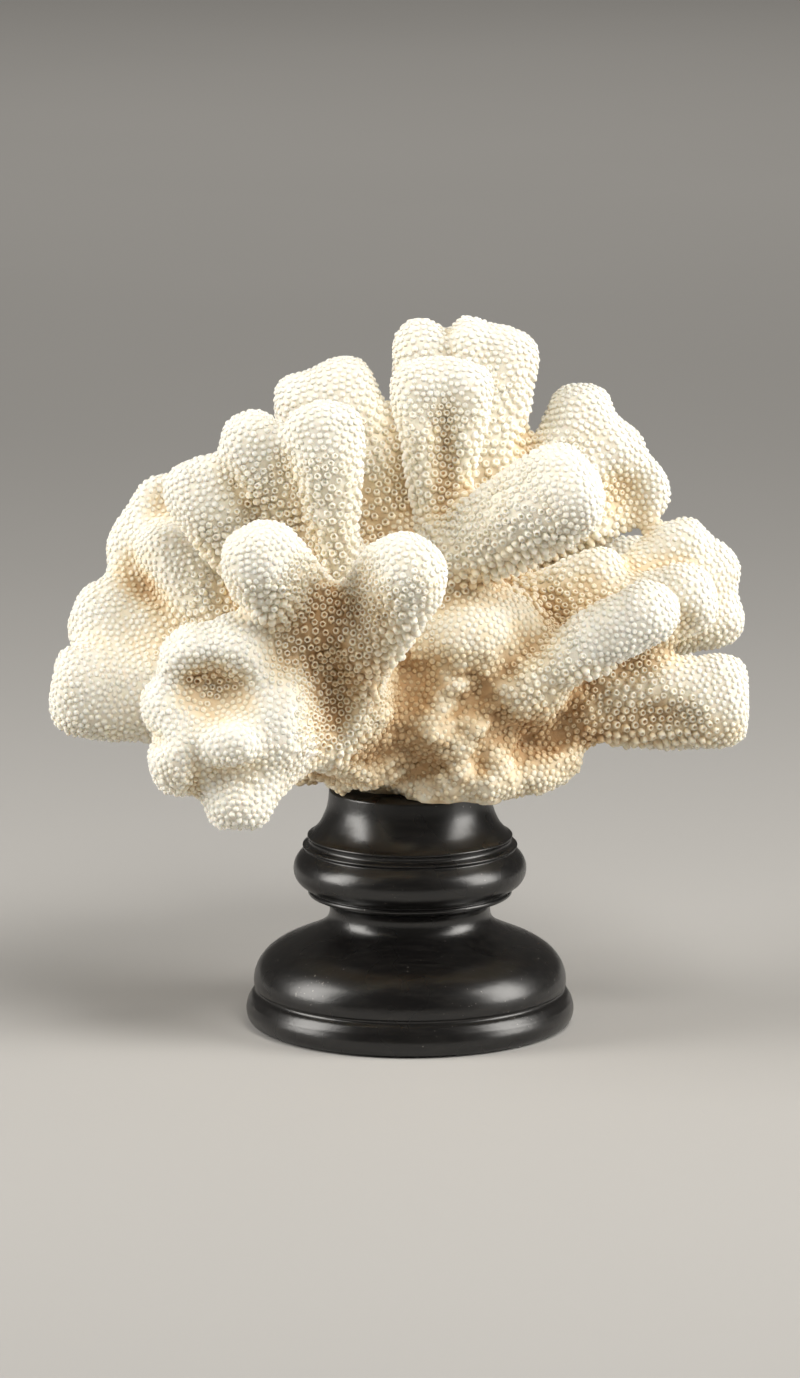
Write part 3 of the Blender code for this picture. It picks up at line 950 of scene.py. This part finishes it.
    def cut_underside(self, mesh: bpy.types.Mesh) -> None:
        """Cuts the trunk flat where it stands on the base, and closes the cut.

        Args:
            mesh: the skin.
        """
        shape = bmesh.new()
        shape.from_mesh(mesh)
        found = bmesh.ops.bisect_plane(
            shape,
            geom=[*shape.verts, *shape.edges, *shape.faces],
            plane_co=(0, 0, self.cut_height * MM),
            plane_no=(0, 0, -1),
            clear_outer=True,
        )
        rim = [part for part in found["geom_cut"] if isinstance(part, bmesh.types.BMEdge)]
        bmesh.ops.holes_fill(shape, edges=rim, sides=0)
        bmesh.ops.triangulate(shape, faces=[face for face in shape.faces if len(face.verts) > 4])
        bmesh.ops.recalc_face_normals(shape, faces=shape.faces)
        shape.to_mesh(mesh)
        shape.free()

    def measure(self, mesh: bpy.types.Mesh) -> None:
        """Works out how deep each vertex lies in a valley, and stores the tone that the finish reads.

        A smoothed copy of the skin lies outside it in a valley and inside it on a ridge. The gap between
        them along the normal is the depth, taken once for creases and once for deep forks. The tone rises
        towards the tips and on the rim of the cut, and falls in valleys and hollows, on undersides and
        where the skin is worn. The rise towards the tips and the fall in valleys, hollows and on undersides
        are painted light and shade; the fall on the worn trunk is partly worn skeleton and partly painted
        shade. The orange hollows carry real orange stains, and one hollow paints light on a shaded face.

        Args:
            mesh: the skin.
        """
        graph = SkinGraph(mesh)
        points, normals = mesh_points(mesh) / MM, mesh_normals(mesh)
        smooth, depths = points.copy(), []
        for passes in (self.valley_passes, self.valley_passes * 4):
            for _ in range(passes):
                smooth = graph.mean(smooth)
            depths.append(((smooth - points) * normals).sum(axis=1))
        worn, rule = self.wear(points), self.rule
        # Painted light and shade: lighter towards the outer tips, darker in creases, deep forks and on
        # undersides, where shade falls.
        outer = smooth_step(self.nearness(points), *rule.tip_edge)
        tone = rule.ground + rule.tips * outer - rule.creases * np.clip(depths[0], *rule.crease_limits)
        tone -= rule.forks * np.clip(depths[1], *rule.fork_limits)
        tone -= rule.undersides * smooth_step(-normals[:, 2], *rule.under_edge)
        tone += rule.rim * smooth_step(rule.rim_top - points[:, 2], 0, rule.rim_fade)
        ledges = np.abs(self.ledges.at(points))
        # Darker on the low trunk: worn skeleton and painted shade under the fingers; grit varies it at random
        # and the ledges are lighter.
        tone -= worn * (rule.wear + rule.grit * self.grit.at(points) - rule.ledges * ledges)
        tone += rule.mottle * self.mottle.at(points)
        # The hollows' lowering: painted shade for most, real orange stains for the orange ones, painted light
        # where negative.
        for hollow in self.hollows:
            tone -= hollow.stain_and_shade * hollow.share(points)
        set_attribute(mesh, "tone", np.clip(tone, rule.darkest, 1.0))

    def build(self) -> bpy.types.Object:
        """Grows the skin, finishes it and hands it to the frame.

        Returns:
            The body.
        """
        obj = self.remeshed(self.joined_lobes(), self.first_grid)
        self.fill_valleys(obj.data)
        self.remeshed(obj, self.last_grid)
        self.roughen(obj.data)
        self.cut_underside(obj.data)
        self.measure(obj.data)
        obj.name = "coral_body"
        obj.data.name = "coral_body"
        obj.data.shade_smooth()
        finish = SkeletonFinish("coral_skeleton_skin", grain_size=0.0007, grain_depth=0.0002)
        obj.data.materials.append(finish.build())
        self.obj, self.mesh = obj, obj.data
        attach(obj, "root")
        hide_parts("trunk", *self.branches)
        LOG.info("coral body: %d faces", len(self.mesh.polygons))
        return obj


@dataclass
class Cups:
    """The small cups that cover the skin. Sizes are in millimetres.

    The shares say by how much a cup shrinks where it is fine, grows on an underside or sinks where it is
    worn, and the ranges are those of the random factors.
    """

    colony: Colony
    sides: int = 6
    spacing: float = 1.94
    tip_spacing: float = 1.4
    tip_reach: float = 19.0
    tip_fade: float = 14.0
    side_reach: float = 14.0
    side_edge: tuple[float, float] = (36.0, 66.0)
    stain_and_shade_reach: float = 60.0
    rim_gap: float = 0.9
    packing: float = 0.78
    tries: int = 120000
    worn_away: float = 0.04
    radius: float = 0.93
    radius_range: tuple[float, float] = (0.86, 1.08)
    fine_radius: float = 0.28
    under_radius: float = 0.1
    worn_radius: tuple[float, float] = (-0.22, 0.2)
    height: float = 0.8
    height_range: tuple[float, float] = (0.7, 1.3)
    fine_height: float = 0.58
    worn_height: float = 0.2
    lean: float = 0.5
    droop: float = 0.4
    wobble: float = 0.10
    under_edge: tuple[float, float] = (0.05, 0.7)
    push_reach: float = 1.06
    push_step: float = 0.42
    closing: float = 1.5
    open_until: float = 0.62
    open_below: float = 0.15
    closing_noise: float = 0.12
    dark_tone: float = 0.55
    dark_contrast: float = 1.7
    worn_contrast: float = 0.55
    tone_noise: float = 0.03
    seed: int = 5

    @staticmethod
    def tree_of(points: np.ndarray) -> KDTree:
        """A balanced search tree.

        Args:
            points: the places in it, one row each.

        Returns:
            The tree.
        """
        tree = KDTree(len(points))
        for number, place in enumerate(points):
            tree.insert(place, number)
        tree.balance()
        return tree

    def spines(self) -> tuple[KDTree, np.ndarray, np.ndarray]:
        """A search tree over points of every spine.

        Returns:
            The tree, and for each of its points the growth direction and the way left to the lobe's tip.
        """
        share = np.linspace(0, 1, 24)
        found = [lobe.spine(share) for lobe in self.colony.all_lobes()]
        tree = self.tree_of(np.concatenate([points for points, _ in found]))
        left = [np.linalg.norm(points[-1] - points[0]) * (1 - share) for points, _ in found]
        return tree, np.concatenate([ways for _, ways in found]), np.concatenate(left)

    def clear_of_cut(self, points: np.ndarray) -> np.ndarray:
        """Whether each point lies above the flat cut by more than the gap kept there."""
        return points[:, 2] > self.colony.cut_height + self.rim_gap

    def candidates(self, count: int, draw: np.random.Generator) -> np.ndarray:
        """Random points on the skin, as many to each area, clear of the flat cut.

        Args:
            count: how many are drawn.
            draw: the seeded generator.

        Returns:
            The points in millimetres.
        """
        mesh = self.colony.mesh
        mesh.calc_loop_triangles()
        corners = np.empty(len(mesh.loop_triangles) * 3, np.int32)
        mesh.loop_triangles.foreach_get("vertices", corners)
        corner = (mesh_points(mesh) / MM)[corners.reshape(-1, 3)]
        area = np.linalg.norm(np.cross(corner[:, 1] - corner[:, 0], corner[:, 2] - corner[:, 0]), axis=1)
        pick = draw.choice(len(area), size=count, p=area / area.sum())
        u, v = draw.random(count), draw.random(count)
        flip = u + v > 1
        u, v = np.where(flip, 1 - u, u)[:, None], np.where(flip, 1 - v, v)[:, None]
        first, second, third = (corner[pick, number] for number in range(3))
        points = first + (second - first) * u + (third - first) * v
        return points[self.clear_of_cut(points)]

    def fineness(self, points: np.ndarray, tree: KDTree, left: np.ndarray) -> np.ndarray:
        """How small and close the cups stand: most so near the tips and on the worn trunk.

        The fine stretch at a tip is longer far out at the sides, and shorter where the hollows lower the
        tone, by real stain and painted shade alike.

        Args:
            points: the places.
            tree: the tree over the spines.
            left: the way left to the tip at each point in the tree.

        Returns:
            A number from 0, on the flanks, to 1.
        """
        nearest = [tree.find(place)[1] for place in points]
        sideways = self.side_reach * smooth_step(np.abs(points[:, 0]), *self.side_edge)
        # The hollows' tone lowering, painted shade and real stains, shortens the fine stretch.
        stain_and_shade_total = sum(hollow.stain_and_shade * hollow.share(points) for hollow in self.colony.hollows)
        fine_reach = self.tip_reach + sideways - self.stain_and_shade_reach * stain_and_shade_total
        tip = smooth_step(fine_reach - left[nearest], 0, self.tip_fade)
        return np.maximum(tip, self.colony.wear(points))

    def crowding(self, points: np.ndarray, tree: KDTree, left: np.ndarray) -> np.ndarray:
        """The distance wanted between cups at each point."""
        return self.spacing + (self.tip_spacing - self.spacing) * self.fineness(points, tree, left)

    def thinned(self, points: np.ndarray, wanted: np.ndarray, settled: np.ndarray) -> np.ndarray:
        """Keeps points, in turn, that clear those kept before them and the settled ones.

        Args:
            points: the candidates.
            wanted: the spacing wanted at each.
            settled: places that are already taken.

        Returns:
            The numbers of the candidates that are kept.
        """
        alive = np.ones(len(points), bool)
        if len(settled):
            taken = self.tree_of(settled)
            alive = np.array([taken.find(place)[2] for place in points]) > self.packing * wanted
        crowd = self.tree_of(points)
        kept = []
        for number in np.flatnonzero(alive):
            if alive[number]:
                kept.append(number)
                close = crowd.find_range(points[number], self.packing * wanted[number])
                alive[[found[1] for found in close]] = False
        return np.array(kept, int)

    def relaxed(self, points: np.ndarray, wanted: np.ndarray, skin: BVHTree, passes: int) -> np.ndarray:
        """Evens the points out: each is pushed from its six nearest, then set back on the skin.

        The push from each neighbour is the share by which it stands closer than the wanted spacing.

        Args:
            points: the places.
            wanted: the spacing wanted at each.
            skin: the search tree over the colony's skin, in metres.
            passes: how many times the push is made.

        Returns:
            The new places.
        """
        for _ in range(passes):
            crowd = self.tree_of(points)
            near = np.array([[found[1] for found in crowd.find_n(place, 7)] for place in points])[:, 1:]
            away = points[:, None] - points[near]
            gap = np.linalg.norm(away, axis=2, keepdims=True)
            close = np.maximum(1 - gap / (self.push_reach * wanted[:, None, None]), 0)
            push = close * away / np.maximum(gap, 0.01)
            points = points + push.sum(axis=1) * wanted[:, None] * self.push_step
            points = np.array([skin.find_nearest(place * MM)[0] for place in points]) / MM
        return points

    def scatter(self, tree: KDTree, left: np.ndarray) -> np.ndarray:
        """Cup places: random points thinned to the wanted spacing, evened out, then the gaps filled.

        Args:
            tree: the tree over the spines.
            left: the way left to the tip at each point in the tree.

        Returns:
            The places in millimetres.
        """
        draw = np.random.default_rng(self.seed)
        skin = BVHTree.FromObject(self.colony.obj, bpy.context.evaluated_depsgraph_get())
        places = np.empty((0, 3))
        for passes in (4, 3):
            points = self.candidates(self.tries, draw)
            wanted = self.crowding(points, tree, left)
            places = np.concatenate([places, points[self.thinned(points, wanted, places)]])
            places = self.relaxed(places, self.crowding(places, tree, left), skin, passes)
        stays = draw.random(len(places)) > self.worn_away * self.colony.wear(places)
        return places[self.clear_of_cut(places) & stays]

    def template(self) -> tuple[np.ndarray, np.ndarray, np.ndarray, np.ndarray, np.ndarray]:
        """One cup of radius 1 and height 1, in two forms: an open ring with a pit, and a closed bead.

        Each is a profile of radius, height and tone, turned round its axis from a sunken foot over the
        rim to the middle. The tone is lighter on the rim and the bead's crest, partly the cup's own whiter
        rim and partly painted light, and darker in the pit and at the foot, painted shade.

        Returns:
            The ring's and the bead's vertices, the faces padded with -1, and each form's tones.
        """
        # Third column, tone: rim and crest lighter, own colour and painted light; pit and foot darker,
        # painted shade.
        ring = [(1.12, -0.5, -0.04), (0.89, 0.62, 0.18), (0.64, 1.0, 0.34), (0.40, 0.45, -0.04)]
        ring.append((0.0, 0.12, -0.22))
        bead = [(1.16, -0.5, -0.02), (0.92, 0.28, 0.08), (0.62, 0.75, 0.18), (0.30, 0.98, 0.19)]
        bead.append((0.0, 1.0, 0.12))
        turn = np.linspace(0, 2 * math.pi, self.sides, endpoint=False)
        points, tones = [], []
        for profile in (ring, bead):
            rings = [(r * np.cos(turn), r * np.sin(turn), np.full(self.sides, z)) for r, z, _ in profile[:-1]]
            middle = [(0.0, 0.0, profile[-1][1])]
            points.append(np.concatenate([*(np.stack(circle, -1) for circle in rings), middle]))
            tones.append(np.array([tone for _, _, tone in profile[:-1] for _ in turn] + [profile[-1][2]]))
        rows = len(ring) - 1
        walls = ring_quads(rows, self.sides)
        pit = pole_fan((rows - 1) * self.sides, rows * self.sides, self.sides)
        wide = ((0, 0), (0, self.sides - walls.shape[1]))
        foot = np.arange(self.sides)[::-1][None]
        faces = np.concatenate([*(np.pad(part, wide, constant_values=-1) for part in (walls, pit)), foot])
        return points[0], points[1], faces, tones[0], tones[1]

    def axes(
        self, normal: np.ndarray, growth: np.ndarray, under: np.ndarray, draw: np.random.Generator
    ) -> tuple[np.ndarray, np.ndarray, np.ndarray]:
        """Each cup's own axes: two across it, turned at random, and one along it, leaning to the tip.

        Args:
            normal: the skin's normal at each cup.
            growth: the way in which the lobe grows there.
            under: 1 on undersides, where the cups droop, and 0 elsewhere.
            draw: the seeded generator.

        Returns:
            The three unit directions, one row a cup.
        """
        axis = normal + growth * self.lean + draw.normal(scale=self.wobble, size=normal.shape)
        axis[:, 2] -= self.droop * under
        axis /= np.linalg.norm(axis, axis=1, keepdims=True)
        side = np.cross(axis, draw.normal(size=normal.shape))
        side /= np.linalg.norm(side, axis=1, keepdims=True)
        return side, np.cross(axis, side), axis

    def build(self) -> list[bpy.types.Object]:
        """Scatters the cups, shapes each and joins them into one piece for each side.

        Returns:
            The pieces, in the order of Side.
        """
        tree, ways, left = self.spines()
        points = self.scatter(tree, left)
        draw = np.random.default_rng(self.seed + 1)
        mesh = self.colony.mesh
        lookup = self.tree_of(mesh_points(mesh))
        vertex = np.array([lookup.find(place * MM)[1] for place in points])
        normal = mesh_normals(mesh)[vertex]
        growth = ways[[tree.find(place)[1] for place in points]]
        fine, worn = self.fineness(points, tree, left), self.colony.wear(points)
        under = smooth_step(-normal[:, 2], *self.under_edge)
        axes = self.axes(normal, growth, under, draw)
        count = len(points)
        size = self.radius * (1 - self.fine_radius * fine) * (1 + self.under_radius * under)
        size = size * draw.uniform(*self.radius_range, count)
        size *= 1 + worn * draw.uniform(*self.worn_radius, count)
        tall = self.height * (1 - self.fine_height * fine) * (1 + under) * (1 - self.worn_height * worn)
        tall = tall * draw.uniform(*self.height_range, count)
        closed = np.maximum(self.closing * fine - self.open_until, under - self.open_below)
        closed = np.maximum(closed, worn - self.open_below)
        closed = np.clip(closed + draw.normal(scale=self.closing_noise, size=count), 0, 1)
        ring, bead, faces, ring_tones, bead_tones = self.template()
        ground = np.empty(len(mesh.vertices), np.float32)
        mesh.attributes["tone"].data.foreach_get("value", ground)
        eighth = Side.of(points)
        material = SkeletonFinish("coral_skeleton_cups").build()
        pieces = []
        for number, part in enumerate(Side):
            mine = eighth == number
            count = int(mine.sum())
            shut = closed[mine][:, None]
            shape = ring * (1 - shut[..., None]) + bead * shut[..., None]
            corners = points[mine][:, None]
            for row, (way, reach) in enumerate(zip(axes, (size, size, tall))):
                corners = corners + way[mine][:, None] * (shape[..., row] * reach[mine][:, None])[..., None]
            offset = (np.arange(count) * len(ring))[:, None, None]
            joined = np.where(faces[None] >= 0, faces[None] + offset, -1).reshape(-1, faces.shape[1])
            cups = mesh_from_arrays(part.value, corners.reshape(-1, 3) * MM, joined)
            base = ground[vertex[mine]][:, None]
            # Where the ground is darker, painted shade included, the cups' painted rim light and pit shade
            # get more contrast.
            contrast = 1 + self.dark_contrast * np.clip(self.dark_tone - base, 0, 0.4)
            contrast = contrast * (1 - self.worn_contrast * worn[mine][:, None])
            tone = base + contrast * (ring_tones * (1 - shut) + bead_tones * shut)
            tone += draw.normal(scale=self.tone_noise, size=(count, 1))
            set_attribute(cups, "tone", np.clip(tone, 0.02, 1.0).ravel())
            cups.shade_smooth()
            cups.materials.append(material)
            piece = new_object(part.value, cups)
            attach(piece, "root")
            pieces.append(piece)
            LOG.info("%s: %d cups, %d triangles", part.value, count, count * (self.sides * 8 - 2))
        return pieces


@dataclass
class TurnedBase:
    """The ebonised base, one outline turned round the vertical axis. Sizes are in millimetres."""

    height: float = 53.0
    seat: float = 17.8
    foot: float = 36.3
    around: int = 144
    steps: int = 6

    def outline(self) -> np.ndarray:
        """Radius and height down the outside: key points joined by smooth curves, with two fine grooves.

        Each stretch goes on from the last point of the one before it, and the first from the seat.

        Returns:
            One row a point, from the axis at the top round to the axis at the bottom.
        """
        stretches = {
            "cup": [(18.3, 48.8), (19.7, 45.3), (21.3, 43.2), (22.3, 42.5)],
            "upper_ring": [(22.6, 42.3), (22.65, 42.0), (22.4, 41.75)],
            "band": [(22.25, 41.2), (22.4, 40.7), (22.85, 40.4)],
            "lower_ring": [(23.55, 40.25), (23.75, 39.95), (23.5, 39.65)],
            "groove": [(23.3, 39.3), (23.6, 38.9)],
            "torus": [
                *[(24.9, 37.4), (25.6, 35.9), (25.75, 34.4), (25.4, 33.0)],
                *[(24.6, 31.8), (23.4, 30.9), (22.4, 30.4)],
            ],
            "lip": [
                *[(22.2, 30.15), (22.5, 29.8), (22.55, 29.3), (22.1, 28.9)],
                *[(20.8, 28.4), (19.3, 28.0), (18.3, 27.3)],
            ],
            "neck": [(17.8, 26.2), (17.8, 24.8), (18.3, 23.4), (19.5, 22.1), (21.4, 20.9)],
            "bell": [
                *[(25.2, 19.2), (28.6, 17.7), (31.4, 15.9), (33.3, 13.8)],
                *[(34.3, 11.6), (34.6, 9.8), (34.5, 8.4)],
            ],
            "crease": [(34.2, 7.8), (34.35, 7.3), (35.1, 6.6), (35.9, 5.2)],
            "bottom": [(self.foot, 3.4), (36.1, 1.8), (35.4, 0.6), (33.9, 0.0)],
        }
        parts, start = [], (self.seat, self.height)
        for points in stretches.values():
            parts.append(self.curve(np.array([start, *points]), self.steps))
            start = points[-1]
        top, below = [(0.0, self.height), (9.0, self.height)], [(16.0, 0.0), (0.0, 0.0)]
        line = np.concatenate([top, *parts, below])
        keep = np.concatenate([[True], np.linalg.norm(np.diff(line, axis=0), axis=1) > 1e-6])
        return line[keep]

    @staticmethod
    def curve(points: np.ndarray, steps: int) -> np.ndarray:
        """A Catmull-Rom curve through the points, each stretch in equal steps.

        Args:
            points: the key points.
            steps: points for each stretch.

        Returns:
            The fine points, the last key point included.
        """
        padded = np.concatenate([[2 * points[0] - points[1]], points, [2 * points[-1] - points[-2]]])
        t = np.linspace(0, 1, steps, endpoint=False)[:, None]
        fine = []
        for a, b, c, d in zip(padded, padded[1:], padded[2:], padded[3:]):
            square, cube = 2 * a - 5 * b + 4 * c - d, 3 * b - a - 3 * c + d
            fine.append(0.5 * (2 * b + (c - a) * t + square * t**2 + cube * t**3))
        return np.concatenate([*fine, points[-1:]])

    def build(self) -> bpy.types.Object:
        """Turns the outline: every point becomes a ring, and each end meets the axis in one pole.

        Returns:
            The base.
        """
        inner = self.outline()[1:-1]
        turn = np.linspace(0, 2 * math.pi, self.around, endpoint=False)
        high = np.repeat(inner[:, 1:], self.around, axis=1)
        rings = np.stack([inner[:, :1] * np.cos(turn), inner[:, :1] * np.sin(turn), high], -1)
        points = np.concatenate([rings.reshape(-1, 3), [(0, 0, self.height), (0, 0, 0)]])
        pole = len(inner) * self.around
        faces = [
            ring_quads(len(inner), self.around)[:, [0, 3, 2, 1]],
            pole_fan(0, pole, self.around),
            pole_fan(pole - self.around, pole + 1, self.around, flipped=True),
        ]
        mesh = mesh_from_arrays("turned_base", points * MM, np.concatenate(faces))
        mesh.shade_smooth()
        mesh.materials.append(EbonisedFinish().build())
        piece = new_object("turned_base", mesh)
        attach(piece, "root")
        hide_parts("base")
        LOG.info("turned base: %d faces", len(mesh.polygons))
        return piece


@dataclass(frozen=True)
class SoftBox:
    """A large area light with a shallow grid, turned to its target. Places are in metres, power in watts."""

    name: str
    place: tuple[float, float, float]
    size: tuple[float, float]
    power: float
    target: tuple[float, float, float] = (0.0, 0.0, 0.09)
    mirrored: bool = True
    colour: tuple[float, float, float] = (1.0, 0.972, 0.925)
    spread: float = math.radians(120)

    def build(self) -> bpy.types.Object:
        """Makes the light and turns it.

        Returns:
            The light.
        """
        light = bpy.data.lights.new(self.name, "AREA")
        light.shape = "RECTANGLE"
        light.size, light.size_y = self.size
        light.energy = self.power
        light.color = self.colour
        light.spread = self.spread
        obj = bpy.data.objects.new(self.name, light)
        obj.location = self.place
        heading = Vector(self.target) - Vector(self.place)
        obj.rotation_euler = heading.to_track_quat("-Z", "Y").to_euler()
        obj.visible_glossy = self.mirrored
        bpy.context.scene.collection.objects.link(obj)
        return obj


@dataclass
class Studio:
    """The floor, the lights and the camera. Places are in metres."""

    aim: tuple[float, float, float] = (-0.0022, 0.0, 0.0749)
    distance: float = 1.6
    elevation: float = math.radians(11.3)
    lens: float = 190.0
    sensor: float = 36.0
    clip_end: float = 50.0
    floor_size: float = 8.0
    world_colour: tuple[float, float, float] = (1.0, 0.94, 0.86)
    world_strength: float = 0.09
    lights: tuple[SoftBox, ...] = (
        SoftBox("left_soft_box", (-0.93, -0.16, 0.47), (0.55, 0.8), 5.35),
        SoftBox("right_soft_box", (0.93, -0.18, 0.47), (0.55, 0.8), 5.45),
        SoftBox("top_soft_box", (0.28, -0.62, 0.95), (0.45, 0.45), 3.2, mirrored=False),
        SoftBox("floor_soft_box", (0.0, 1.5, 1.4), (2.2, 1.0), 8.0, (0.0, 1.8, 0.0), mirrored=False),
    )

    def floor(self) -> None:
        """Lays the floor, one square round the origin."""
        edge = self.floor_size / 2
        corners = np.array([(-edge, -edge, 0), (edge, -edge, 0), (edge, edge, 0), (-edge, edge, 0)], float)
        mesh = mesh_from_arrays("studio_floor", corners, np.array([[0, 1, 2, 3]]))
        mesh.materials.append(FloorFinish().build())
        new_object("studio_floor", mesh)

    def build(self) -> None:
        """Sets the floor, two soft boxes at the sides, weak ones above and behind, and the camera."""
        self.floor()
        for light in self.lights:
            light.build()
        world = bpy.data.worlds.new("studio_world")
        world.use_nodes = True
        background = world.node_tree.nodes["Background"]
        background.inputs["Color"].default_value = (*self.world_colour, 1.0)
        background.inputs["Strength"].default_value = self.world_strength
        bpy.context.scene.world = world
        camera = bpy.data.cameras.new("camera")
        camera.lens = self.lens
        camera.sensor_width = self.sensor
        camera.clip_end = self.clip_end
        obj = bpy.data.objects.new("camera", camera)
        forward = Vector((0.0, math.cos(self.elevation), -math.sin(self.elevation)))
        obj.location = Vector(self.aim) - forward * self.distance
        obj.rotation_euler = forward.to_track_quat("-Z", "Y").to_euler()
        bpy.context.scene.collection.objects.link(obj)
        bpy.context.scene.camera = obj
        bpy.context.scene.view_settings.view_transform = "Standard"


def main() -> None:
    """Builds the base, the coral's body, its cups and the studio, and notes the sizes."""
    logging.basicConfig(level=logging.INFO, format="%(name)s: %(message)s")
    TurnedBase().build()
    colony = Colony(BRANCHES, TRUNK, hollows=tuple(HOLLOWS.values()))
    colony.build()
    Cups(colony).build()
    Studio().build()


if __name__ == "__main__":
    main()
